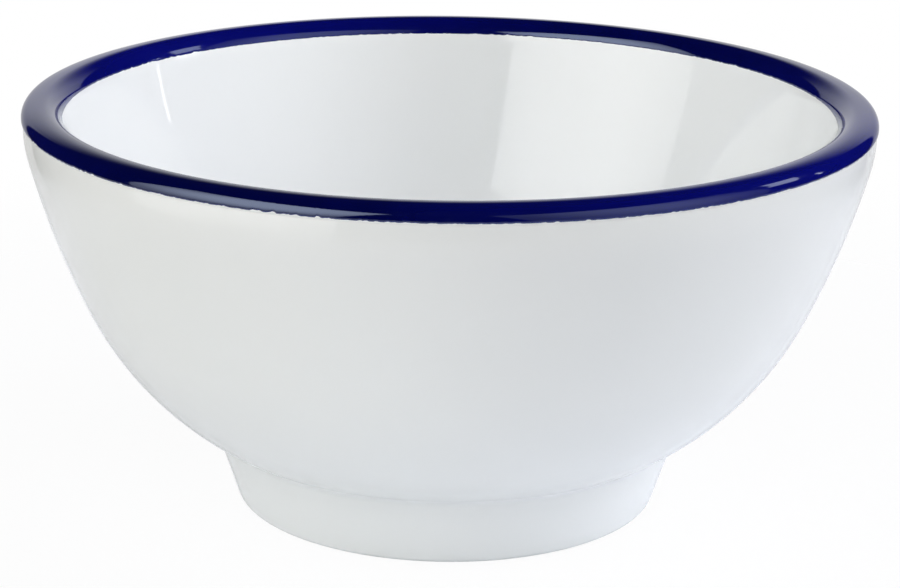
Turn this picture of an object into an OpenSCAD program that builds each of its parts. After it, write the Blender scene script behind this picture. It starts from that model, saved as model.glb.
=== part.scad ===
// Footed salad bowl: a thick one-piece moulding with a coloured coat over its lip.
// Drawn as turned outlines. Z is up, the axis is the bowl's own, and Z = 0 is the plane that it stands on.

/* [Bowl] */
// Diameter over the widest line of the rim
rim_d = 200; // [160:1:260]
// Height from the plane that it stands on to the crown of the rim
bowl_h = 97.6; // [80:0.2:140]
// Radius of the belly, the lowest stretch of the outside wall
belly_r = 60; // [50:1:85]
// How far the wall turns up along the belly, in degrees
belly_turn = 8; // [2:1:20]
// Lean of the wall from upright where it leaves the foot, in degrees
belly_lean = 61; // [50:1:70]
// Lean of the wall from upright where its shoulder starts, in degrees
flank_lean = 14.4; // [6:0.2:20]
// Radius of the shoulder that brings the wall upright below the rim
shoulder_r = 25; // [10:1:60]
// How far the shoulder stays inside the widest line of the rim
shoulder_inset = 0.35; // [0.1:0.05:1.5]
// Height from the widest line of the shoulder to the edge of the rim band
shoulder_drop = 2; // [1:0.1:6]

/* [Rim] */
// Width of the rim from the end of its inner rounding to its outside
rim_w = 9.4; // [8.6:0.1:14]
// Height of the crown over the widest line of the rim
rim_rise = 3; // [2.9:0.1:4]
// Radius of the rim's outer edge
rim_out_r = 2.7; // [0.8:0.1:2.8]
// Radius of the rounding from the crown into the inside wall
rim_in_r = 4.6; // [0.8:0.1:5.4]
// Height of the groove between the shoulder and the rim
groove_h = 0.35; // [0.1:0.05:0.8]

/* [Rim band] */
// Thickness of the colour coat
coat_t = 0.3; // [0.1:0.05:0.6]
// How far round the outer edge the coat runs below level, in degrees
wrap_out = 12; // [2:1:40]
// How far the coat runs down the inside wall below the rounding
run_in = 0.4; // [0.1:0.1:4]

/* [Basin] */
// Radius of the flat floor inside
floor_r = 20; // [10:1:30]
// Thickness of the floor
floor_t = 6; // [4:0.2:10]
// Radius of the inside where the floor starts to turn up
basin_r = 62; // [40:1:75]
// How far the inside turns up at that radius, in degrees
basin_turn = 37; // [20:1:50]
// Lean of the inside from upright below the rim, in degrees
basin_lean = 13; // [1:0.5:18]

/* [Foot] */
// Height of the foot, up to the belly
foot_h = 17; // [12:0.5:22]
// Diameter of the foot where it meets the belly
foot_top_d = 112; // [104:1:125]
// Diameter of the foot at the plane that it stands on
foot_d = 100.8; // [90:0.2:108]
// Thickness of the foot ring at the plane that it stands on
foot_ring_t = 7; // [5:0.5:12]
// Radius of the foot's outer edge
foot_edge_r = 1.7; // [0.5:0.1:2.5]
// Radius of the foot ring's inner edge
foot_inner_edge_r = 1; // [0.3:0.1:2]
// Fillet between the foot and the belly
foot_fillet_r = 1.2; // [0.4:0.1:3]
// Depth of the recess under the floor
recess_h = 10; // [5:0.5:12]
// Draft of the recess wall from upright, in degrees
recess_draft = 8; // [1:1:15]
// Fillet between the recess wall and the underside of the floor
recess_fillet_r = 3; // [0.5:0.5:5]

/* [Hidden] */

// Largest gap between a drawn arc and its true curve
arc_tol = 0.02;
// Steps in a full turn
turn_steps = 180;

rim_r = rim_d / 2;
floor_z = recess_h + floor_t;

function unit(v) = v / norm(v);
function turned(v, a) = [v[0] * cos(a) - v[1] * sin(a), v[0] * sin(a) + v[1] * cos(a)];
function tail(points) = [for (i = [1 : len(points) - 1]) points[i]];
function reversed(points) = [for (i = [len(points) - 1 : -1 : 0]) points[i]];

// Outward and upward directions of a wall that leans by a degrees, 0 being upright and 90 level
function facing(a) = [cos(a), -sin(a)];
function along(a) = [sin(a), cos(a)];

// Chords that keep an arc of radius r and sweep s within arc_tol
function chords(r, s) = max(2, ceil(abs(s) / (2 * acos(1 - arc_tol / max(abs(r), 4 * arc_tol)))));

// Arc about c that starts where the wall leans by a and ends where it leans by b
function arc(c, r, a, b) =
    let (n = chords(r, b - a))
    [for (i = [0 : n]) c + r * facing(a + (b - a) * i / n)];

// Arc of radius r that rounds the corner p between the points before and after it
function fillet(before, p, after, r) =
    let (u = unit(before - p))
    let (v = unit(after - p))
    let (half = acos(u * v) / 2)
    let (c = p + unit(u + v) * r / sin(half))
    let (start = p + u * r / tan(half) - c)
    let (sweep = sign(cross(v, u)) * (180 - 2 * half))
    let (n = chords(r, sweep))
    [for (i = [0 : n]) c + turned(start, sweep * i / n)];

// Arc up a wall from p, where it leans by a, to where it leans by b, by its radius or by its tangent length
function rise(p, r, a, b) = arc(p - r * facing(a), r, a, b);
function bend(p, tangent, a, b) = rise(p, tangent / tan((a - b) / 2), a, b);

// Two arcs of equal tangent length that meet smoothly, from p0 leaning by a to p1 leaning by b
function two_bends(p0, a, p1, b) =
    let (v = p1 - p0)
    let (t0 = along(a))
    let (t1 = along(b))
    let (spread = 1 - t0 * t1)
    let (way = v * (t0 + t1))
    let (tangent = (sqrt(way * way + 2 * spread * (v * v)) - way) / (2 * spread))
    let (q0 = p0 + tangent * t0)
    let (q1 = p1 - tangent * t1)
    let (lean = atan2(q1[0] - q0[0], q1[1] - q0[1]))
    concat(bend(p0, tangent, a, lean), tail(bend((q0 + q1) / 2, tangent, lean, b)));

// Wall from p0, leaning by a, to p1, leaning by b. It turns by the angle turn on the radius r first,
// and two more arcs take it on from there, whatever the width and height of the bowl.
function wall(p0, a, p1, b, r, turn) =
    let (low = rise(p0, r, a, a - turn))
    concat(low, tail(two_bends(low[len(low) - 1], a - turn, p1, b)));

// The rim's section: an outer edge, a flatter crown and an inner rounding, each running into the next.
// The rounding ends where it leans as the inside wall does, so that the core of the mould can be drawn.
crown_r = (pow(rim_w / 2 - rim_out_r, 2) + pow(rim_rise, 2) - pow(rim_out_r, 2)) / (2 * (rim_rise - rim_out_r));
crown_c = [rim_r - rim_w / 2, bowl_h - crown_r];
out_turn = asin((crown_r - rim_rise) / (crown_r - rim_out_r));
in_turn = acos((rim_w / 2 - rim_in_r * cos(basin_lean)) / (crown_r - rim_in_r));
out_c = crown_c + (crown_r - rim_out_r) * facing(-out_turn);
in_c = crown_c + (crown_r - rim_in_r) * facing(in_turn - 180);

// The rim's outline from the band's outer edge over the crown to its inner edge, sunk by a depth
function rim_line(depth) = concat(
    arc(out_c, rim_out_r - depth, wrap_out, -out_turn),
    tail(arc(crown_c, crown_r - depth, -out_turn, in_turn - 180)),
    tail(arc(in_c, rim_in_r - depth, in_turn - 180, basin_lean - 180)),
    [in_c + (rim_in_r - depth) * facing(basin_lean - 180) + run_in * along(basin_lean - 180)]
);

rim_face = rim_line(0);
lip_face = rim_line(coat_t);
band_foot_out = rim_face[0];
band_foot_in = rim_face[len(rim_face) - 1];

// The shoulder, from the wall's lean to the groove under the rim
shoulder_c = [rim_r - shoulder_inset - shoulder_r, band_foot_out[1] - shoulder_drop];
shoulder_end = -asin((shoulder_drop - groove_h) / shoulder_r);
shoulder = arc(shoulder_c, shoulder_r, flank_lean, shoulder_end);

// The walls, outside from the foot to the shoulder, and inside from the floor to the rim band
outside = wall([foot_top_d / 2, foot_h], belly_lean, shoulder[0], flank_lean, belly_r, belly_turn);
inside = wall([floor_r, floor_z], 90, band_foot_in, basin_lean, basin_r, basin_turn);

// The foot's corners, from the recess out to the belly
recess_corner = [foot_d / 2 - foot_ring_t - recess_h * tan(recess_draft), recess_h];
ring_inner_corner = [foot_d / 2 - foot_ring_t, 0];
ring_outer_corner = [foot_d / 2, 0];
belly_corner = outside[0];

foot = concat(
    fillet([0, recess_h], recess_corner, ring_inner_corner, recess_fillet_r),
    fillet(recess_corner, ring_inner_corner, ring_outer_corner, foot_inner_edge_r),
    fillet(ring_inner_corner, ring_outer_corner, belly_corner, foot_edge_r),
    fillet(ring_outer_corner, belly_corner, outside[1], foot_fillet_r)
);

// The moulding: foot, wall, lip, basin and floor in one piece
module bowl_body() {
    color("white")
        rotate_extrude($fn = turn_steps)
            polygon(concat(
                [[0, recess_h]],
                foot,
                tail(outside),
                tail(shoulder),
                [band_foot_out],
                lip_face,
                reversed(inside),
                [[0, floor_z]]
            ));
}

// The colour coat, a closed skin that lies on the lip from groove to basin
module rim_band() {
    color("#0b1160")
        rotate_extrude($fn = turn_steps)
            polygon(concat(rim_face, reversed(lip_face)));
}

bowl_body();
rim_band();
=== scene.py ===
# %% [markdown]
# A white salad bowl with a blue rim
#
# The real bowl is one thick moulding of white melamine. A blue colour coat was put on over its lip
# after moulding. Both are round about one axis, so this lesson draws half a section of each, turns it
# with Geometry Nodes, gives it a finish, and lights it as in a small photo studio.
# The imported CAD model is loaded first: it fixes the size and the place of both pieces.

# %% Load the frame and keep its box
from math import acos, asin, atan2, ceil, cos, degrees, hypot, pi, radians, sin, sqrt, tan

import bpy
from mathutils import Matrix, Vector


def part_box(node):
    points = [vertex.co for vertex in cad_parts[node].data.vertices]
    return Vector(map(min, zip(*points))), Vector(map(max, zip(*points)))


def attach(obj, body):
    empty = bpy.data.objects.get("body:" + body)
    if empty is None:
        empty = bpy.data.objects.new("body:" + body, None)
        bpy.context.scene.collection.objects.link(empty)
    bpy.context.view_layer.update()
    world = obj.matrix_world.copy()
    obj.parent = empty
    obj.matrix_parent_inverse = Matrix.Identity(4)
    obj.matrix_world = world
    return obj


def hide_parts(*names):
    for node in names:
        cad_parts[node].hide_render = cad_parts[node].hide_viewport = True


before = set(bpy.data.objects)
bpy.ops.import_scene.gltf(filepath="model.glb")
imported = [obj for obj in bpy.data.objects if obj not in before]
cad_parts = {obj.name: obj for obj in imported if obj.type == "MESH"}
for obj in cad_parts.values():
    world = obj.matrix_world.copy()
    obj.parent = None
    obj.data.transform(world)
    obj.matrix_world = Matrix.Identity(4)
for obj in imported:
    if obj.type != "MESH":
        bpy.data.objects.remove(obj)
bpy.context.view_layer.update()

MM = 0.001                              # one millimetre in Blender's metres
body_low, body_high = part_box("bowl_body")
band_low, band_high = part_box("rim_band")
rim_r = band_high.x / MM
bowl_h = band_high.z / MM
print(f"rim {2 * rim_r:.1f} mm across, bowl {bowl_h:.1f} mm high")
print(f"moulding {body_low.z / MM:.1f} to {body_high.z / MM:.1f} mm high, coat from {band_low.z / MM:.1f} mm")

# %% [markdown]
# The section of the bowl
#
# A turner or a mould maker thinks of such a bowl as one outline: the recess under the floor, the foot,
# the wall, the lip, and back down the inside. It could be drawn by hand as a curve, but then no size in
# it would be known. Here each stretch is an arc, given by the way in which the wall leans: 0 degrees is
# upright and 90 degrees is level. Sizes are in millimetres, as on a drawing.

# %% Arcs that follow a leaning wall
ARC_STEP = 4.0                          # largest turn from point to point, in degrees
CHORD = 2.0                             # longest step from point to point on an arc


def facing(lean):
    """The direction that a wall faces when it leans by that many degrees."""
    return cos(radians(lean)), -sin(radians(lean))


def upward(lean):
    """The direction up along that wall."""
    return sin(radians(lean)), cos(radians(lean))


def moved(point, direction, distance):
    return point[0] + distance * direction[0], point[1] + distance * direction[1]


def arc(centre, radius, start, end):
    """Points from where the wall leans by start to where it leans by end."""
    turn = abs(end - start)
    count = max(2, ceil(turn / ARC_STEP), ceil(radians(turn) * radius / CHORD))
    leans = [start + (end - start) * i / count for i in range(count + 1)]
    return [moved(centre, facing(lean), radius) for lean in leans]


print(f"an arc goes on by at most {ARC_STEP} degrees and {CHORD} mm from point to point")

# %% [markdown]
# The lip and its blue coat
#
# The lip has a tight outer edge, a flatter crown and a wide inner rounding that runs straight into the
# inside wall, so that the core of the mould can be drawn. The coat lies on it. A colour coat is about
# 0.1 mm thick, far less than the skin that the CAD model needs to be a sound solid. So both pieces are
# made here with that thickness, and the coat's outer face stays where the CAD model has it.

# %% The rim's three arcs
RIM_W = 9.4                             # width of the rim
RIM_RISE = 3.0                          # height of its crown over its widest line
RIM_OUT_R = 2.7                         # radius of its outer edge
RIM_IN_R = 4.6                          # radius of its inner rounding
BASIN_LEAN = 13                         # how the inside wall leans below the rim, in degrees

crown_r = ((RIM_W / 2 - RIM_OUT_R) ** 2 + RIM_RISE ** 2 - RIM_OUT_R ** 2) / (2 * (RIM_RISE - RIM_OUT_R))
crown_c = rim_r - RIM_W / 2, bowl_h - crown_r
out_turn = degrees(asin((crown_r - RIM_RISE) / (crown_r - RIM_OUT_R)))
in_turn = degrees(acos((RIM_W / 2 - RIM_IN_R * cos(radians(BASIN_LEAN))) / (crown_r - RIM_IN_R)))
out_c = moved(crown_c, facing(-out_turn), crown_r - RIM_OUT_R)
in_c = moved(crown_c, facing(in_turn - 180), crown_r - RIM_IN_R)
print(f"the radius of the crown is {crown_r:.2f} mm")

# %% The rim's outline, sunk by a depth
WRAP_OUT = 12                           # how far the coat runs below level outside, in degrees
RUN_IN = 0.4                            # how far it runs down the inside wall
COAT_T = 0.1                            # thickness of the colour coat


def rim_line(depth):
    """From the coat's outer edge over the crown to its inner edge."""
    rounding = arc(in_c, RIM_IN_R - depth, in_turn - 180, BASIN_LEAN - 180)
    return (arc(out_c, RIM_OUT_R - depth, WRAP_OUT, -out_turn)
            + arc(crown_c, crown_r - depth, -out_turn, in_turn - 180)[1:]
            + rounding[1:] + [moved(rounding[-1], upward(BASIN_LEAN), -RUN_IN)])


rim_face = rim_line(0)
lip_face = rim_line(COAT_T)
coat_w = sum(hypot(b[0] - a[0], b[1] - a[1]) for a, b in zip(rim_face, rim_face[1:]))
print(f"the coat is {coat_w:.1f} mm wide over the lip")

# %% [markdown]
# The outside and the inside
#
# Below the lip the outside has a small groove and a shoulder, and from there the wall sweeps down to the
# belly and the foot. The inside runs from the lip down to a flat floor. A free curve could follow both
# walls, but its bends would be hard to keep even. Here only the first arc of a wall has a radius of its
# own, and two more arcs of equal tangent length carry it on to the rim. They always meet smoothly, which
# matters on a glossy surface: a kink of one degree already breaks a reflection.

# %% Two arcs that meet smoothly, and a whole wall
def rise(point, radius, start, end):
    """An arc that starts at a point of the wall."""
    return arc(moved(point, facing(start), -radius), radius, start, end)


def two_bends(low, low_lean, high, high_lean):
    """Two arcs that carry a wall from one leaning point up to another."""
    span = high[0] - low[0], high[1] - low[1]
    off, on = upward(low_lean), upward(high_lean)
    spread = 1 - (off[0] * on[0] + off[1] * on[1])
    way = span[0] * (off[0] + on[0]) + span[1] * (off[1] + on[1])
    tangent = (sqrt(way * way + 2 * spread * (span[0] ** 2 + span[1] ** 2)) - way) / (2 * spread)
    first, last = moved(low, off, tangent), moved(high, on, -tangent)
    lean = degrees(atan2(last[0] - first[0], last[1] - first[1]))
    middle = (first[0] + last[0]) / 2, (first[1] + last[1]) / 2
    lower = rise(low, tangent / tan(radians(low_lean - lean) / 2), low_lean, lean)
    upper = rise(middle, tangent / tan(radians(lean - high_lean) / 2), lean, high_lean)
    return lower + upper[1:]


def wall(low, low_lean, high, high_lean, radius, turn):
    """A wall whose first arc has a radius and a turn of its own."""
    first = rise(low, radius, low_lean, low_lean - turn)
    return first + two_bends(first[-1], low_lean - turn, high, high_lean)[1:]


# %% The outside
FOOT_H = 17                             # height of the foot
FOOT_TOP_D = 112                        # diameter of its top, where the belly starts
BELLY_LEAN = 61                         # how the belly leans there, in degrees
BELLY_R, BELLY_TURN = 60, 8             # radius of the belly's first arc, and its turn in degrees
FLANK_LEAN = 14.4                       # how the wall leans below the shoulder, in degrees
SHOULDER_R = 25                         # radius of the shoulder
SHOULDER_INSET = 0.35                   # how far it stays behind the rim's widest line
SHOULDER_DROP = 2                       # how far its widest line lies below the coat's edge
GROOVE_H = 0.35                         # height of the groove between the shoulder and the coat

shoulder_c = rim_r - SHOULDER_INSET - SHOULDER_R, rim_face[0][1] - SHOULDER_DROP
shoulder_end = -degrees(asin((SHOULDER_DROP - GROOVE_H) / SHOULDER_R))
shoulder = arc(shoulder_c, SHOULDER_R, FLANK_LEAN, shoulder_end)
outside = wall((FOOT_TOP_D / 2, FOOT_H), BELLY_LEAN, shoulder[0], FLANK_LEAN, BELLY_R, BELLY_TURN)
print(f"{len(outside)} points outside, {len(shoulder)} on the shoulder")

# %% The inside
FLOOR_R, FLOOR_Z = 20, 16               # radius of the flat floor, and its height
FLOOR_LEAN = 90                         # level
BASIN_R, BASIN_TURN = 62, 37            # radius of the basin's first arc, and its turn in degrees

inside = wall((FLOOR_R, FLOOR_Z), FLOOR_LEAN, rim_face[-1], BASIN_LEAN, BASIN_R, BASIN_TURN)
print(f"{len(inside)} points inside")

# %% [markdown]
# The foot
#
# The foot was moulded with the wall. It tapers inwards to the ring that the bowl stands on, and a recess
# under the floor keeps the thickness even, as in any thick moulding. A Bevel modifier could round its
# edges after turning. Rounding the corners of the section gives each corner its own radius and keeps the
# faces even. The corner between wall and foot is rounded more than in the CAD model, 4 mm instead of
# 1.2 mm, because light runs over it softly. That moves the surface there by about 0.2 mm.

# %% The foot's rounded corners
def unit(vector):
    return vector[0] / hypot(*vector), vector[1] / hypot(*vector)


def fillet(before, corner, after, radius):
    """An arc that rounds a corner of the section."""
    back = unit((before[0] - corner[0], before[1] - corner[1]))
    ahead = unit((after[0] - corner[0], after[1] - corner[1]))
    half = acos(back[0] * ahead[0] + back[1] * ahead[1]) / 2
    centre = moved(corner, unit((back[0] + ahead[0], back[1] + ahead[1])), radius / sin(half))
    touch = moved(corner, back, radius / tan(half))
    arm = touch[0] - centre[0], touch[1] - centre[1]
    sweep = (pi - 2 * half) * (1 if ahead[0] * back[1] - ahead[1] * back[0] > 0 else -1)
    count = max(4, ceil(degrees(abs(sweep)) / ARC_STEP))
    turns = [sweep * i / count for i in range(count + 1)]
    return [(centre[0] + arm[0] * cos(turn) - arm[1] * sin(turn),
             centre[1] + arm[0] * sin(turn) + arm[1] * cos(turn)) for turn in turns]


# %% The foot's section
FOOT_D = 100.8                          # diameter of the foot at the table, before rounding
RING_T = 7                              # width of the ring that the bowl stands on, before rounding
RECESS_H, RECESS_DRAFT = 10, 8          # height of the recess, and how its side leans, in degrees
RECESS_ROUND = 3                        # radius in the recess, between its side and its top
RING_IN_ROUND, RING_OUT_ROUND = 1, 1.7  # radii of the ring's inner and outer edge
FOOT_ROUND = 4                          # radius between the foot and the belly

ring_inner = FOOT_D / 2 - RING_T, 0
ring_outer = FOOT_D / 2, 0
recess_corner = ring_inner[0] - RECESS_H * tan(radians(RECESS_DRAFT)), RECESS_H
foot = (fillet((0, RECESS_H), recess_corner, ring_inner, RECESS_ROUND)
        + fillet(recess_corner, ring_inner, ring_outer, RING_IN_ROUND)
        + fillet(ring_inner, ring_outer, outside[0], RING_OUT_ROUND)
        + fillet(ring_outer, outside[0], outside[1], FOOT_ROUND))
print(f"{len(foot)} points from the recess to the belly")

# %% [markdown]
# The whole section
#
# A long straight stretch between two outline points would give long thin faces, and smooth shading
# would spread the normal of a tight corner over them. So straight stretches get extra points.

# %% The whole section of the moulding
SECTION_STEP = 3.0                      # longest step along the section


def with_steps(points, longest):
    """The same outline, with no step longer than longest."""
    stepped = points[:1]
    for a, b in zip(points, points[1:]):
        count = max(1, ceil(hypot(b[0] - a[0], b[1] - a[1]) / longest))
        stepped += [(a[0] + (b[0] - a[0]) * i / count, a[1] + (b[1] - a[1]) * i / count)
                    for i in range(1, count + 1)]
    return stepped


moulding = with_steps([(0, RECESS_H)] + foot + outside[1:] + shoulder[1:]
                      + lip_face[:-1] + inside[::-1] + [(0, FLOOR_Z)], SECTION_STEP)
print(f"the section of the moulding has {len(moulding)} points")

# %% [markdown]
# A lathe made of nodes
#
# Blender's Screw modifier or the Spin tool could turn the section. A node tree does it here, because the
# blue coat needs the same turning with an edge that wavers, and both can then be read side by side.
# The tree starts from a flat grid: its rows are the points of the section, and its columns are the steps
# of the turn. Sample Index fetches the section's point for each row, and the column gives the angle.

# %% One function that adds a node
def add_node(tree, kind, links=None, **settings):
    """Adds a node, sets its properties, and links or sets the sockets that are named or numbered."""
    node = tree.nodes.new(kind)
    for name, value in settings.items():
        setattr(node, name, value)
    for name, value in (links or {}).items():
        if isinstance(name, str):
            socket = next(s for s in node.inputs if s.enabled and s.name == name)
        else:
            socket = node.inputs[name]
        if isinstance(value, bpy.types.NodeSocket):
            tree.links.new(value, socket)
        else:
            socket.default_value = value
    return node


# %% An empty tree with named sizes
def new_tree(name, sizes):
    """A node tree with one named input for each size."""
    tree = bpy.data.node_groups.new(name, "GeometryNodeTree")
    tree.interface.new_socket("Geometry", in_out="INPUT", socket_type="NodeSocketGeometry")
    for size, kind in sizes.items():
        tree.interface.new_socket(size, in_out="INPUT", socket_type="NodeSocket" + kind)
    tree.interface.new_socket("Geometry", in_out="OUTPUT", socket_type="NodeSocketGeometry")
    print(f"{name} has the inputs {', '.join(sizes)}")
    return tree, add_node(tree, "NodeGroupInput").outputs


# %% The grid that is turned
def turning_grid(tree, rows, steps):
    """A grid of rows by steps, with the row number and the angle of each of its points."""
    columns = add_node(tree, "ShaderNodeMath", {0: steps, 1: 1.0}, operation="ADD").outputs[0]
    grid = add_node(tree, "GeometryNodeMeshGrid", {"Vertices X": rows, "Vertices Y": columns}).outputs["Mesh"]
    index = add_node(tree, "GeometryNodeInputIndex").outputs[0]
    share = add_node(tree, "ShaderNodeMath", {0: index, 1: columns}, operation="DIVIDE").outputs[0]
    row = add_node(tree, "ShaderNodeMath", {0: share}, operation="FLOOR").outputs[0]
    column = add_node(tree, "ShaderNodeMath", {0: index, 1: columns}, operation="MODULO").outputs[0]
    turn = add_node(tree, "ShaderNodeMath", {0: column, 1: steps}, operation="DIVIDE").outputs[0]
    angle = add_node(tree, "ShaderNodeMath", {0: turn, 1: -2 * pi}, operation="MULTIPLY").outputs[0]
    return grid, row, angle


# %% [markdown]
# A closed skin with its finish
#
# Turning leaves a seam where the last column meets the first, and a point at each end of the axis where
# a whole row lies in one place. Merge by Distance closes both. Where two faces meet at more than 35
# degrees, as in the groove under the rim, the edge stays sharp. A tree ends in Realize Instances and Set
# Material, so that its result is a plain mesh with its finish. The columns run clockwise, because then
# the faces point outwards.

# %% Turn, close, shade and finish
SHARP = radians(35)                     # edges that bend more than this stay sharp
SEAM = 0.001 * MM                       # points closer than this become one


def turn_and_finish(tree, grid, section, angle, finish):
    """Turns the grid's points about the axis, closes and shades the skin, and gives it its finish."""
    turned = add_node(tree, "ShaderNodeVectorRotate", {"Vector": section, "Angle": angle},
                      rotation_type="Z_AXIS").outputs[0]
    shaped = add_node(tree, "GeometryNodeSetPosition", {"Geometry": grid, "Position": turned}).outputs[0]
    merged = add_node(tree, "GeometryNodeMergeByDistance", {"Geometry": shaped, "Distance": SEAM}).outputs[0]
    smooth = add_node(tree, "GeometryNodeSetShadeSmooth", {0: merged, "Shade Smooth": True}).outputs[0]
    bend = add_node(tree, "GeometryNodeInputMeshEdgeAngle").outputs["Unsigned Angle"]
    sharp = add_node(tree, "ShaderNodeMath", {0: bend, 1: SHARP}, operation="GREATER_THAN").outputs[0]
    creased = add_node(tree, "GeometryNodeSetShadeSmooth",
                       {0: smooth, "Selection": sharp, "Shade Smooth": False}, domain="EDGE").outputs[0]
    real = add_node(tree, "GeometryNodeRealizeInstances", {"Geometry": creased}).outputs[0]
    done = add_node(tree, "GeometryNodeSetMaterial", {"Geometry": real, "Material": finish}).outputs[0]
    add_node(tree, "NodeGroupOutput", {"Geometry": done})
    print(f"{tree.name}: {len(tree.nodes)} nodes")


# %% The lathe for the moulding
lathe, sizes = new_tree("turned_moulding", {"Turn Steps": "Int", "Finish": "Material"})
line = sizes["Geometry"]
rows = add_node(lathe, "GeometryNodeAttributeDomainSize", {"Geometry": line}).outputs["Point Count"]
grid, row, angle = turning_grid(lathe, rows, sizes["Turn Steps"])
place = add_node(lathe, "GeometryNodeInputPosition").outputs[0]
section = add_node(lathe, "GeometryNodeSampleIndex", {"Geometry": line, "Value": place, "Index": row},
                   data_type="FLOAT_VECTOR").outputs[0]
turn_and_finish(lathe, grid, section, angle, sizes["Finish"])


# %% [markdown]
# From a tree to a plain mesh
#
# A modifier runs the tree on the section, which is a mesh of edges. Each input of the modifier is set by
# its identifier, because that is how Blender stores it. The piece could keep its modifier, but a plain
# mesh is simpler to export and to measure, so the result is copied and the section is thrown away.

# %% Run a tree on a section and keep a plain mesh
def turn_section(name, points, tree, values):
    """Makes the section a mesh of edges, runs the tree on it and returns the plain result."""
    line = bpy.data.meshes.new(name + "_section")
    places = [(r * MM, 0, z * MM) for r, z in points]
    line.from_pydata(places, [(i, i + 1) for i in range(len(points) - 1)], [])
    raw = bpy.data.objects.new(name + "_section", line)
    bpy.context.scene.collection.objects.link(raw)
    modifier = raw.modifiers.new("turn", "NODES")
    modifier.node_group = tree
    for item in tree.interface.items_tree:
        if item.in_out == "INPUT" and item.name in values:
            modifier[item.identifier] = values[item.name]
    depsgraph = bpy.context.evaluated_depsgraph_get()
    mesh = bpy.data.meshes.new_from_object(raw.evaluated_get(depsgraph), depsgraph=depsgraph)
    mesh.name = name
    raw.modifiers.clear()
    bpy.data.objects.remove(raw)
    piece = bpy.data.objects.new(name, mesh)
    bpy.context.scene.collection.objects.link(piece)
    triangles = sum(len(p.vertices) - 2 for p in mesh.polygons)
    print(f"{name}: {len(mesh.vertices)} points, {triangles} triangles")
    return piece


# %% [markdown]
# The white moulding's finish
#
# Melamine is pressed hot in a polished steel mould. Its gloss is high, but the surface has a very faint
# long wave, like orange peel, and the white is a little cool and slightly cloudy, because the resin flows
# before it sets. The ring that the bowl stands on is rubbed satin by tables. Painted or photographed
# textures would need a UV map. Noise on Object coordinates needs none and has no seam, and its scales are
# worked out from millimetres.

# %% Colours and pattern sizes
def linear(hex_colour):
    """An sRGB hex value as linear light."""
    parts = [int(hex_colour[i:i + 2], 16) / 255 for i in (1, 3, 5)]
    return [p / 12.92 if p <= 0.04045 else ((p + 0.055) / 1.055) ** 2.4 for p in parts] + [1]


def per_metre(millimetres):
    """The Scale of a texture whose pattern is that wide, on Object coordinates in metres."""
    return 1 / (millimetres * MM)


# %% Moulded white melamine
# A polished mould gives the eye a clear mirror over a soft white that is nearly the same all over.
CLOUD_SIZE = 30                         # width of the clouds in the white
POLISHED, CLOUDED = 0.02, 0.04          # roughness of the clearest and of the dullest cloud
RUBBED = 0.32                           # what rubbing adds to the roughness of the ring
RUB_FULL, RUB_END = 0.3, 0.8            # heights up to which the ring is fully rubbed, and at all
PEEL_SIZE, PEEL_DEPTH = 6, 0.004        # width and depth of the long wave

melamine = bpy.data.materials.new("melamine_moulded_white")
melamine.use_nodes = True
tree = melamine.node_tree
coords = add_node(tree, "ShaderNodeTexCoord").outputs["Object"]
cloud = add_node(tree, "ShaderNodeTexNoise",
                 {"Vector": coords, "Scale": per_metre(CLOUD_SIZE), "Detail": 3.0}).outputs[0]
white = add_node(tree, "ShaderNodeMix", {"Factor": cloud, "A": linear("#EDF0F1"), "B": linear("#F0F2F3")},
                 data_type="RGBA").outputs[2]
height = add_node(tree, "ShaderNodeSeparateXYZ", {0: coords}).outputs["Z"]
rubbed = add_node(tree, "ShaderNodeMapRange",
                  {"Value": height, "From Min": RUB_FULL * MM, "From Max": RUB_END * MM,
                   "To Min": RUBBED, "To Max": 0.0}).outputs[0]
polish = add_node(tree, "ShaderNodeMapRange",
                  {"Value": cloud, "To Min": POLISHED, "To Max": CLOUDED}).outputs[0]
rough = add_node(tree, "ShaderNodeMath", {0: polish, 1: rubbed}, operation="ADD").outputs[0]
peel = add_node(tree, "ShaderNodeTexNoise",
                {"Vector": coords, "Scale": per_metre(PEEL_SIZE), "Detail": 1.0}).outputs[0]
wave = add_node(tree, "ShaderNodeBump",
                {"Height": peel, "Strength": 1.0, "Distance": PEEL_DEPTH * MM}).outputs[0]
shader = tree.nodes["Principled BSDF"]
shader.inputs["IOR"].default_value = 1.5
tree.links.new(white, shader.inputs["Base Color"])
tree.links.new(rough, shader.inputs["Roughness"])
tree.links.new(wave, shader.inputs["Normal"])
print(f"{melamine.name}: {len(tree.nodes)} nodes")

# %% Turn the moulding
body = turn_section("bowl_moulding", moulding, lathe, {"Turn Steps": 256, "Finish": melamine})

# %% [markdown]
# The blue coat's finish
#
# The coat was put on wet and flowed a little before it set, so it has an orange peel of its own. It is a
# deep navy. Where it thins out, at its two edges, some of the white shows through and the blue looks
# lighter. Patches in it pooled before it set. On top of that the navy is painted lighter in two stretches
# of the rim that face each other and towards the back, and painted darker at the front: painted light and
# shade, for the way the lamps fall on it. One plain blue would look like plastic. Mixing three blues by the
# thin edges, the pools and the painted light and shade keeps it a coat. The tree that makes the coat
# writes how far it covers, as an attribute of its points, and the colour reads that.

# %% Where the navy is painted lighter and darker by light
PAINTED_LIGHT_AZIMUTH = 56                      # where the painted light is strongest, in degrees from the front to the right, and opposite
PAINTED_LIGHT_BEHIND = 0.12                     # painted light that the back adds to the sum, and painted shade that the front takes away
POOL_SIZE, POOL_SHARE = 9, 0.3          # width of the pooled patches, and how much they count
DARKEST, LIGHTEST = 0.1, 1.15           # the sums at which the darkest and the lightest navy are reached

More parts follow.
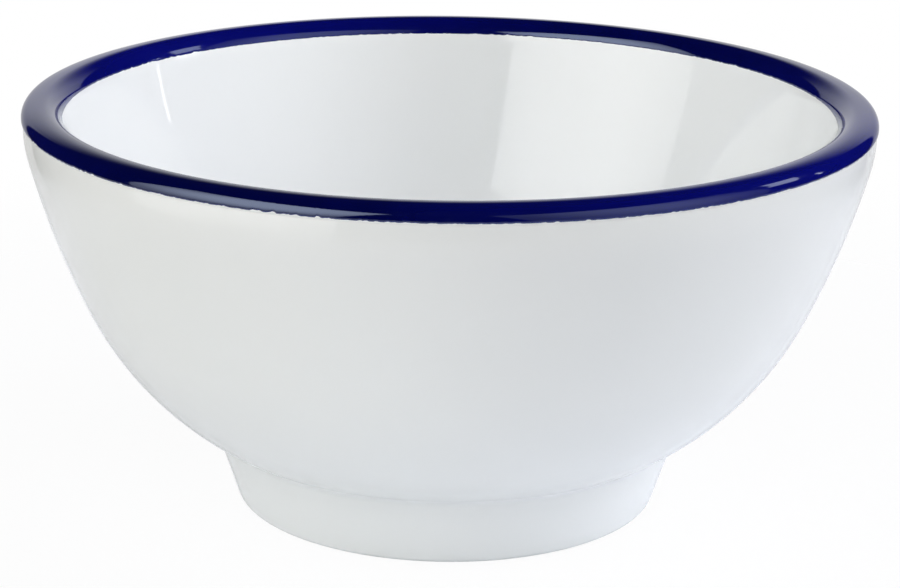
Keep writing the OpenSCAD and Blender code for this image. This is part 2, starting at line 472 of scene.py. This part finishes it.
coat = bpy.data.materials.new("colour_coat_glossy_navy")
coat.use_nodes = True
tree = coat.node_tree
coords = add_node(tree, "ShaderNodeTexCoord").outputs["Object"]
# Painted light and shade: the navy is painted lighter along one line across the rim and towards the back, and
# darker at the front, as lamps would light it.
painted_light_way = Vector((sin(radians(PAINTED_LIGHT_AZIMUTH)), -cos(radians(PAINTED_LIGHT_AZIMUTH)), 0))
across = add_node(tree, "ShaderNodeVectorMath", {0: coords, 1: painted_light_way / (rim_r * MM)},
                  operation="DOT_PRODUCT").outputs["Value"]
painted_light_stretches = add_node(tree, "ShaderNodeMath", {0: across, 1: across}, operation="MULTIPLY").outputs[0]
behind = add_node(tree, "ShaderNodeSeparateXYZ", {0: coords}).outputs["Y"]
painted_light_and_pools = add_node(tree, "ShaderNodeMath", {0: behind, 1: PAINTED_LIGHT_BEHIND / (rim_r * MM), 2: painted_light_stretches},
                   operation="MULTIPLY_ADD").outputs[0]
pooled = add_node(tree, "ShaderNodeTexNoise",
                  {"Vector": coords, "Scale": per_metre(POOL_SIZE), "Detail": 2.0}).outputs[0]
# The pools are the coat's own patches; they are added to the painted light and shade.
painted_light_and_pools = add_node(tree, "ShaderNodeMath", {0: pooled, 1: POOL_SHARE, 2: painted_light_and_pools},
                   operation="MULTIPLY_ADD").outputs[0]
painted_light_and_pools = add_node(tree, "ShaderNodeMapRange",
                   {"Value": painted_light_and_pools, "From Min": DARKEST, "From Max": LIGHTEST}).outputs[0]
print(f"{coat.name}: lightest {PAINTED_LIGHT_AZIMUTH} degrees from the front and opposite")

# %% Glossy navy colour coat
# A coat that flowed gives the eye a sharp, faintly blue mirror over a blue that is nearly black.
COAT_CLEAR, COAT_DULL = 0.04, 0.08      # roughness, from the clearest to the dullest pool
COAT_PEEL_SIZE, COAT_PEEL_DEPTH = 3, 0.003     # width and depth of its orange peel

# The two navies are mixed by the painted light and shade and by the pools.
deep = add_node(tree, "ShaderNodeMix", {"Factor": painted_light_and_pools, "A": linear("#00033C"), "B": linear("#060A6C")},
                data_type="RGBA").outputs[2]
cover = add_node(tree, "ShaderNodeAttribute", attribute_name="coat_cover").outputs["Fac"]
navy = add_node(tree, "ShaderNodeMix", {"Factor": cover, "A": linear("#2A3A8A"), "B": deep},
                data_type="RGBA").outputs[2]
polish = add_node(tree, "ShaderNodeMapRange",
                  {"Value": pooled, "To Min": COAT_CLEAR, "To Max": COAT_DULL}).outputs[0]
peel = add_node(tree, "ShaderNodeTexNoise",
                {"Vector": coords, "Scale": per_metre(COAT_PEEL_SIZE), "Detail": 1.0}).outputs[0]
wave = add_node(tree, "ShaderNodeBump",
                {"Height": peel, "Strength": 1.0, "Distance": COAT_PEEL_DEPTH * MM}).outputs[0]
shader = tree.nodes["Principled BSDF"]
shader.inputs["IOR"].default_value = 1.76       # a resin has about 1.5, but this coat mirrors more
shader.inputs["Specular Tint"].default_value = linear("#D4E4FF")
tree.links.new(navy, shader.inputs["Base Color"])
tree.links.new(polish, shader.inputs["Roughness"])
tree.links.new(wave, shader.inputs["Normal"])
print(f"{coat.name}: {len(tree.nodes)} nodes")

# %% [markdown]
# The coat with its wavering edges
#
# The edge of such a coat is never a clean line: it has small nicks, a millimetre or two wide, that come
# and go round the rim. They could be painted as a mask, but then a close view would show a flat picture.
# Here the tree walks along the rim's outline by length. At each angle, noise says how far in the coat
# starts and ends, and the rows in between share out what is left. The coat is a closed skin: its face
# rounds off at both edges and its back lies just inside the lip, out of sight.

# %% The coat's grid
coater, sizes = new_tree("wavering_coat", {
    "Turn Steps": "Int", "Face Rows": "Int", "Back Rows": "Int", "Thickness": "Float",
    "Edge Round": "Float", "Sink": "Float", "Waver": "Float", "Tooth": "Float", "Drift": "Float",
    "Seed": "Float", "Finish": "Material"})
face_and_back = add_node(coater, "ShaderNodeMath", {0: sizes["Face Rows"], 1: sizes["Back Rows"]},
                         operation="ADD").outputs[0]
rows = add_node(coater, "ShaderNodeMath", {0: face_and_back, 1: 1.0}, operation="ADD").outputs[0]
grid, row, angle = turning_grid(coater, rows, sizes["Turn Steps"])
outline = add_node(coater, "GeometryNodeMeshToCurve", {0: sizes["Geometry"]}).outputs[0]
length = add_node(coater, "GeometryNodeCurveLength", {0: outline}).outputs[0]
round_rim = add_node(coater, "ShaderNodeVectorRotate", {"Vector": (rim_r * MM, 0, 0), "Angle": angle},
                     rotation_type="Z_AXIS").outputs[0]

# %% The coat's two edges
NICK_START, NICK_FULL = 0.48, 0.72      # the fine noise at which a nick starts, and at which it is deepest
CALM, ROUGH = 0.35, 0.65                # the slow noise at which nicks are shallowest and deepest
CALM_SHARE = 0.15                       # their depth at the shallowest, as a share of the deepest
OUTER_SEED, INNER_SEED = 0.0, 10.0      # added to the seed, so that the two edges differ


def wavering_edge(seed_step):
    """How far in the coat starts at one edge: fine nicks that a slow drift makes deeper and shallower."""
    seed = add_node(coater, "ShaderNodeMath", {0: sizes["Seed"], 1: seed_step}, operation="ADD").outputs[0]
    per_tooth = add_node(coater, "ShaderNodeMath", {0: 1.0, 1: sizes["Tooth"]}, operation="DIVIDE").outputs[0]
    per_drift = add_node(coater, "ShaderNodeMath", {0: 1.0, 1: sizes["Drift"]}, operation="DIVIDE").outputs[0]
    tooth = add_node(coater, "ShaderNodeTexNoise",
                     {"Vector": round_rim, "W": seed, "Scale": per_tooth, "Detail": 2.0},
                     noise_dimensions="4D").outputs[0]
    drift = add_node(coater, "ShaderNodeTexNoise", {"Vector": round_rim, "W": seed, "Scale": per_drift},
                     noise_dimensions="4D").outputs[0]
    nick = add_node(coater, "ShaderNodeMapRange",
                    {"Value": tooth, "From Min": NICK_START, "From Max": NICK_FULL}).outputs[0]
    strong = add_node(coater, "ShaderNodeMapRange",
                      {"Value": drift, "From Min": CALM, "From Max": ROUGH, "To Min": CALM_SHARE}).outputs[0]
    share = add_node(coater, "ShaderNodeMath", {0: nick, 1: strong}, operation="MULTIPLY").outputs[0]
    return add_node(coater, "ShaderNodeMath", {0: share, 1: sizes["Waver"]}, operation="MULTIPLY").outputs[0]


start = wavering_edge(OUTER_SEED)
short_of_end = wavering_edge(INNER_SEED)
end = add_node(coater, "ShaderNodeMath", {0: length, 1: short_of_end}, operation="SUBTRACT").outputs[0]
print(f"{coater.name}: {len(coater.nodes)} nodes up to its edges")

# %% Where each row lies along the outline
on_back = add_node(coater, "ShaderNodeMath", {0: row, 1: sizes["Face Rows"]},
                   operation="GREATER_THAN").outputs[0]
share_face = add_node(coater, "ShaderNodeMath", {0: row, 1: sizes["Face Rows"]},
                      operation="DIVIDE").outputs[0]
rows_left = add_node(coater, "ShaderNodeMath", {0: face_and_back, 1: row}, operation="SUBTRACT").outputs[0]
share_back = add_node(coater, "ShaderNodeMath", {0: rows_left, 1: sizes["Back Rows"]},
                      operation="DIVIDE").outputs[0]
share = add_node(coater, "ShaderNodeMix", {"Factor": on_back, "A": share_face, "B": share_back}).outputs[0]
along = add_node(coater, "ShaderNodeMapRange", {"Value": share, "To Min": start, "To Max": end}).outputs[0]
sample = add_node(coater, "GeometryNodeSampleCurve", {"Curves": outline, "Length": along}, mode="LENGTH")
from_start = add_node(coater, "ShaderNodeMath", {0: along, 1: start}, operation="SUBTRACT").outputs[0]
to_end = add_node(coater, "ShaderNodeMath", {0: end, 1: along}, operation="SUBTRACT").outputs[0]
to_edge = add_node(coater, "ShaderNodeMath", {0: from_start, 1: to_end}, operation="MINIMUM").outputs[0]
covered = add_node(coater, "ShaderNodeMapRange", {"Value": to_edge, "From Max": sizes["Edge Round"]},
                   interpolation_type="SMOOTHSTEP").outputs[0]
print(f"{coater.name}: {len(coater.nodes)} nodes with its rows")

# %% How deep each row lies
EDGE_SINK = 0.2                         # how far both edges dip into the lip, as a share of Sink

edge_sink = add_node(coater, "ShaderNodeMath", {0: sizes["Sink"], 1: EDGE_SINK},
                     operation="MULTIPLY").outputs[0]
edge_depth = add_node(coater, "ShaderNodeMath", {0: sizes["Thickness"], 1: edge_sink},
                      operation="ADD").outputs[0]
back_sink = add_node(coater, "ShaderNodeMath", {0: covered, 1: sizes["Sink"]},
                     operation="MULTIPLY").outputs[0]
back_depth = add_node(coater, "ShaderNodeMath", {0: edge_depth, 1: back_sink}, operation="ADD").outputs[0]
bare = add_node(coater, "ShaderNodeMath", {0: 1.0, 1: covered}, operation="SUBTRACT").outputs[0]
face_depth = add_node(coater, "ShaderNodeMath", {0: edge_depth, 1: bare}, operation="MULTIPLY").outputs[0]
depth = add_node(coater, "ShaderNodeMix", {"Factor": on_back, "A": face_depth, "B": back_depth}).outputs[0]
print(f"{coater.name}: {len(coater.nodes)} nodes with its depth")

# %% The coat's section, turned
run = add_node(coater, "ShaderNodeSeparateXYZ", {0: sample.outputs["Tangent"]}).outputs
fall = add_node(coater, "ShaderNodeMath", {0: run["X"], 1: -1.0}, operation="MULTIPLY").outputs[0]
outward = add_node(coater, "ShaderNodeCombineXYZ", {"X": run["Z"], "Z": fall}).outputs[0]
inset = add_node(coater, "ShaderNodeMath", {0: depth, 1: -1.0}, operation="MULTIPLY").outputs[0]
inward = add_node(coater, "ShaderNodeVectorMath", {0: outward, "Scale": inset}, operation="SCALE").outputs[0]
section = add_node(coater, "ShaderNodeVectorMath", {0: sample.outputs["Position"], 1: inward},
                   operation="ADD").outputs[0]
marked = add_node(coater, "GeometryNodeStoreNamedAttribute",
                  {"Geometry": grid, "Name": "coat_cover", "Value": covered}, data_type="FLOAT").outputs[0]
turn_and_finish(coater, marked, section, angle, sizes["Finish"])

# %% Put the coat on
OUTLINE_STEP = 0.1                      # longest step along the coat's outline

fine_rim = with_steps(rim_face, OUTLINE_STEP)
band = turn_section("rim_coat", fine_rim, coater, {
    "Turn Steps": 1440, "Face Rows": 46, "Back Rows": 8, "Thickness": COAT_T * MM, "Edge Round": 0.3 * MM,
    "Sink": 0.1 * MM, "Waver": 0.58 * MM, "Tooth": 1.6 * MM, "Drift": 45 * MM, "Seed": 29.0, "Finish": coat})

# %% [markdown]
# Both pieces take their place
#
# Each piece stands for its CAD node and rides on the one body that a bowl without moving parts has.

# %% Ride and replace
for piece, node, slot in ((body, "bowl_body", "white_moulding"), (band, "rim_band", "blue_coat")):
    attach(piece, "root")
    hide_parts(node)
    print(piece.name, [round(v / MM, 2) for v in piece.dimensions])

# %% [markdown]
# The table
#
# The bowl stands on a round sheet of white paper. Lit like the bowl, paper would come out grey, and more
# light would burn out the bowl, so its material is nearly all white for a ray from the camera and keeps
# only a faint shadow. In a reflection it is mostly the paper itself, which gives the bowl's edges their
# soft grey. The sheet fades out before its edge, so that no line shows, and it is clear from below, so
# that the underside can be looked at.

# %% A round white table
TABLE_R, TABLE_FADE = 360, 160          # its radius, and the width over which its edge fades out
TABLE_CORNERS = 96
TABLE_Z = -0.05                         # a hair below the foot, so that no two faces lie in one plane

table_mesh = bpy.data.meshes.new("table")
turns = [2 * pi * i / TABLE_CORNERS for i in range(TABLE_CORNERS)]
corners = [(TABLE_R * MM * cos(turn), TABLE_R * MM * sin(turn), TABLE_Z * MM) for turn in turns]
table_mesh.from_pydata(corners, [], [range(TABLE_CORNERS)])
table = bpy.data.objects.new("table", table_mesh)
bpy.context.scene.collection.objects.link(table)
print(f"a table of {2 * TABLE_R} mm")

# %% Matt white paper
# Matt paper gives the eye almost no reflection, only a soft shadow.
PAPER_LIFT = 0.94                       # how much of the paper a camera ray sees as plain white
MIRRORED_LIFT = 0.25                    # the share of that for a mirrored ray

paper = bpy.data.materials.new("matt_white_paper")
paper.use_nodes = True
tree = paper.node_tree
sheet = tree.nodes["Principled BSDF"]
sheet.inputs["Base Color"].default_value = linear("#EBEEF3")
sheet.inputs["Roughness"].default_value = 0.9
sheet.inputs["Specular IOR Level"].default_value = 0.1
ray = add_node(tree, "ShaderNodeLightPath").outputs
mirrored = add_node(tree, "ShaderNodeMath", {0: ray["Is Glossy Ray"], 1: MIRRORED_LIFT},
                    operation="MULTIPLY").outputs[0]
seen = add_node(tree, "ShaderNodeMath", {0: ray["Is Camera Ray"], 1: mirrored},
                operation="MAXIMUM").outputs[0]
seen = add_node(tree, "ShaderNodeMath", {0: seen, 1: ray["Is Transmission Ray"]},
                operation="MAXIMUM").outputs[0]
lift = add_node(tree, "ShaderNodeMath", {0: seen, 1: PAPER_LIFT}, operation="MULTIPLY").outputs[0]
glow = add_node(tree, "ShaderNodeEmission", {"Color": linear("#FFFFFF"), "Strength": 1.0}).outputs[0]
lifted = add_node(tree, "ShaderNodeMixShader", {0: lift, 1: sheet.outputs[0], 2: glow}).outputs[0]
print(f"{paper.name}: {len(tree.nodes)} nodes up to its white")

# %% The paper's edge and its clear underside
coords = add_node(tree, "ShaderNodeTexCoord").outputs["Object"]
from_axis = add_node(tree, "ShaderNodeVectorMath", {0: coords}, operation="LENGTH").outputs["Value"]
fade = add_node(tree, "ShaderNodeMapRange",
                {"Value": from_axis, "From Min": (TABLE_R - TABLE_FADE) * MM, "From Max": TABLE_R * MM},
                interpolation_type="SMOOTHSTEP").outputs[0]
from_below = add_node(tree, "ShaderNodeNewGeometry").outputs["Backfacing"]
fade = add_node(tree, "ShaderNodeMath", {0: fade, 1: from_below}, operation="MAXIMUM").outputs[0]
clear = add_node(tree, "ShaderNodeBsdfTransparent").outputs[0]
faded = add_node(tree, "ShaderNodeMixShader", {0: fade, 1: lifted, 2: clear}).outputs[0]
tree.links.new(faded, tree.nodes["Material Output"].inputs["Surface"])
table_mesh.materials.append(paper)
print(f"{paper.name}: {len(tree.nodes)} nodes")

# %% [markdown]
# The room
#
# Gloss shows what is round it. The room is dark, so that the blue stays deep, and a pale backdrop stands
# behind the bowl, which the top of the near rim mirrors as a grey strip. A big white sphere could do for
# a plain background, but the blue would mirror it and turn grey. So the world tells rays apart: the
# camera sees white, gloss sees the backdrop, and matt surfaces see only the dark room.

# %% The backdrop
BACKDROP_HALF = tan(radians(32.5))      # half its width, as a share of its distance from the bowl
BACKDROP_SOFT = 0.02                    # half the width of its soft edges, in the same measure
BACKDROP_MIDDLE, BACKDROP_SIDE = 0.85, 0.4     # how bright it is, where 1 is white
BACKDROP_FULL, BACKDROP_TOP = 0.2, 0.5  # where it starts to fade upwards and where it ends, as a sine
ALMOST_ZERO = 0.001                     # keeps the division sound beside and in front of the bowl

world = bpy.data.worlds.new("studio_room")
bpy.context.scene.world = world
world.use_nodes = True
tree = world.node_tree
toward = add_node(tree, "ShaderNodeTexCoord").outputs["Object"]
way = add_node(tree, "ShaderNodeSeparateXYZ", {0: toward}).outputs
back = add_node(tree, "ShaderNodeMath", {0: way["Y"], 1: ALMOST_ZERO}, operation="MAXIMUM").outputs[0]
aside = add_node(tree, "ShaderNodeMath", {0: way["X"], 1: back}, operation="DIVIDE").outputs[0]
aside = add_node(tree, "ShaderNodeMath", {0: aside}, operation="ABSOLUTE").outputs[0]
within = add_node(tree, "ShaderNodeMapRange",
                  {"Value": aside, "From Min": BACKDROP_HALF - BACKDROP_SOFT,
                   "From Max": BACKDROP_HALF + BACKDROP_SOFT, "To Min": 1.0, "To Max": 0.0}).outputs[0]
bright = add_node(tree, "ShaderNodeMapRange",
                  {"Value": aside, "From Max": BACKDROP_HALF,
                   "To Min": BACKDROP_MIDDLE, "To Max": BACKDROP_SIDE}).outputs[0]
below_top = add_node(tree, "ShaderNodeMapRange",
                     {"Value": way["Z"], "From Min": BACKDROP_FULL, "From Max": BACKDROP_TOP,
                      "To Min": 1.0, "To Max": 0.0}, interpolation_type="SMOOTHSTEP").outputs[0]
backdrop = add_node(tree, "ShaderNodeMath", {0: within, 1: bright}, operation="MULTIPLY").outputs[0]
backdrop = add_node(tree, "ShaderNodeMath", {0: backdrop, 1: below_top}, operation="MULTIPLY").outputs[0]
print(f"the backdrop reaches {degrees(asin(BACKDROP_TOP)):.0f} degrees up")

# %% A dark room that the camera sees as white
ROOM = 0.01                             # light of the dark room, where 1 is white

ray = add_node(tree, "ShaderNodeLightPath").outputs
mirrored = add_node(tree, "ShaderNodeMath", {0: ray["Is Glossy Ray"], 1: ray["Is Transmission Ray"]},
                    operation="MAXIMUM").outputs[0]
strength = add_node(tree, "ShaderNodeMath", {0: backdrop, 1: mirrored}, operation="MULTIPLY").outputs[0]
strength = add_node(tree, "ShaderNodeMath", {0: strength, 1: ROOM}, operation="ADD").outputs[0]
strength = add_node(tree, "ShaderNodeMath", {0: strength, 1: ray["Is Camera Ray"]},
                    operation="MAXIMUM").outputs[0]
room = tree.nodes["Background"]
room.inputs["Color"].default_value = linear("#FFFFFF")
tree.links.new(strength, room.inputs["Strength"])
print(f"{world.name}: {len(tree.nodes)} nodes")

# %% [markdown]
# The lamps
#
# A photographer builds such a light in two steps. Some panels are there to be mirrored in the gloss:
# their edges draw the lines and streaks that show the shape. Others only fill the white with soft light,
# and flags keep them out of the reflections. A Blender lamp can do the same: its ray visibility says
# whether gloss or matt surfaces see it. Azimuth counts from the camera's side, to the right. A big
# softbox is brightest where its bulb is, so the two big panels fade away from one spot.

# %% One soft lamp
PANEL_AWAY, FILL_AWAY = 1.2, 1.1        # metres from the bowl's axis: panels stand behind the fill lamps
LAMP_AIM = 0.09                         # the height that they face, in metres


def soft_lamp(name, azimuth, elevation, width, height, radiance, in_gloss, roll=0, tint="#FFFFFF"):
    """A rectangle of light that faces the bowl. Its sizes are in metres, and a radiance of 1 is white."""
    lamp = bpy.data.lights.new(name, "AREA")
    lamp.shape = "RECTANGLE"
    lamp.size, lamp.size_y = width, height
    colour = linear(tint)[:3]
    lamp.energy = radiance * pi * width * height / (sum(colour) / 3)
    lamp.color = colour
    panel = bpy.data.objects.new(name, lamp)
    bpy.context.scene.collection.objects.link(panel)
    aimed = Matrix.Rotation(radians(azimuth), 3, "Z") @ Matrix.Rotation(radians(-elevation), 3, "X")
    away = PANEL_AWAY if in_gloss else FILL_AWAY
    panel.location = aimed @ Vector((0, -away, 0)) + Vector((0, 0, LAMP_AIM))
    upright = Matrix.Rotation(pi / 2, 3, "X") @ Matrix.Rotation(radians(roll), 3, "Z")
    panel.rotation_euler = (aimed @ upright).to_euler()
    panel.visible_camera = False
    panel.visible_glossy, panel.visible_diffuse = in_gloss, not in_gloss
    print(name, [round(v, 3) for v in panel.location], f"radiance {radiance}")
    return panel


# %% A panel that is brightest in one spot
def hot_spot(panel, spot, tall, full, reach, edge):
    """Lets the panel fade from a spot: full light up to full, and the share edge from reach on.

    Distances are shares of its width, and those upwards, shares of its height, count tall times.
    """
    lamp = panel.data
    lamp.use_nodes = True
    tree = lamp.node_tree
    on_panel = add_node(tree, "ShaderNodeNewGeometry").outputs["Parametric"]
    away = add_node(tree, "ShaderNodeVectorMath", {0: on_panel, 1: (*spot, 0)},
                    operation="SUBTRACT").outputs[0]
    away = add_node(tree, "ShaderNodeVectorMath", {0: away, 1: (1, tall, 0)}, operation="MULTIPLY").outputs[0]
    away = add_node(tree, "ShaderNodeVectorMath", {0: away}, operation="LENGTH").outputs["Value"]
    fading = add_node(tree, "ShaderNodeMapRange",
                      {"Value": away, "From Min": full, "From Max": reach, "To Min": 1.0, "To Max": edge},
                      interpolation_type="SMOOTHSTEP").outputs[0]
    tree.links.new(fading, tree.nodes["Emission"].inputs["Strength"])


# %% Panels that are mirrored in the gloss
panels = {}
for name, azimuth, elevation, width, height, radiance, roll in (
        ("left_panel", -54, 9, 1.43, 1.68, 3.4, -10),
        ("right_panel", 51.5, 10, 1.65, 1.68, 0.9, 6),
        ("right_strip", 98.5, 24.5, 0.22, 0.42, 2.4, -27),
        ("right_line", 107, 8.5, 0.022, 0.2, 5.0, 0)):
    panels[name] = soft_lamp(name, azimuth, elevation, width, height, radiance, in_gloss=True, roll=roll)
hot_spot(panels["left_panel"], spot=(0.57, 0.69), tall=1.15, full=0.15, reach=0.75, edge=0.3)
hot_spot(panels["right_panel"], spot=(0.52, 0.69), tall=0.6, full=0.05, reach=0.5, edge=0.3)

# %% Lamps that fill the white
for name, azimuth, elevation, width, height, radiance, tint in (
        ("left_fill", -51, 12, 1.27, 1.27, 1.15, "#FFFBEE"),
        ("left_side_fill", -115, 12, 0.8, 1.0, 1.6, "#FFFFFF"),
        ("left_high_fill", -110, 40, 0.8, 0.8, 0.7, "#FFFFFF"),
        ("right_side_fill", 95, 15, 0.6, 1.0, 4.8, "#FFFFFF"),
        ("right_high_fill", 115, 40, 0.7, 0.7, 2.6, "#F0F0FF"),
        ("front_high_fill", 0, 45, 0.8, 0.8, 2.97, "#FFFFFF"),
        ("front_low_fill", 0, 3, 0.8, 0.8, 0.38, "#FFFFFF")):
    soft_lamp(name, azimuth, elevation, width, height, radiance, in_gloss=False, tint=tint)

# %% [markdown]
# The camera
#
# The place and the lens were worked out from the lines of the rim, the wall and the foot. Placing the
# camera by eye would match the frame, but hardly the ovals of the rim and the foot as well.

# %% Camera
IMAGE_WIDTH, FOCAL = 900, 2716.1        # the picture's width and the focal length, both in pixels
CAMERA_AWAY = 624.51                    # its place in front of the bowl's axis
CAMERA_UP = 240.58                      # its height above the plane that the bowl stands on
PITCH, YAW, ROLL = 17.071, -0.0478, 0.7575     # how it looks down, turns and leans, in degrees

camera = bpy.data.cameras.new("camera")
camera.sensor_fit, camera.sensor_width = "HORIZONTAL", 36
camera.lens = FOCAL / IMAGE_WIDTH * camera.sensor_width
stand = bpy.data.objects.new("camera", camera)
bpy.context.scene.collection.objects.link(stand)
stand.matrix_world = (Matrix.Translation((0, -CAMERA_AWAY * MM, CAMERA_UP * MM))
                      @ Matrix.Rotation(radians(YAW), 4, "Z")
                      @ Matrix.Rotation(pi / 2 - radians(PITCH), 4, "X")
                      @ Matrix.Rotation(radians(ROLL), 4, "Z"))
bpy.context.scene.camera = stand
bpy.context.scene.view_settings.view_transform = "Standard"
print(f"lens {camera.lens:.1f} mm")
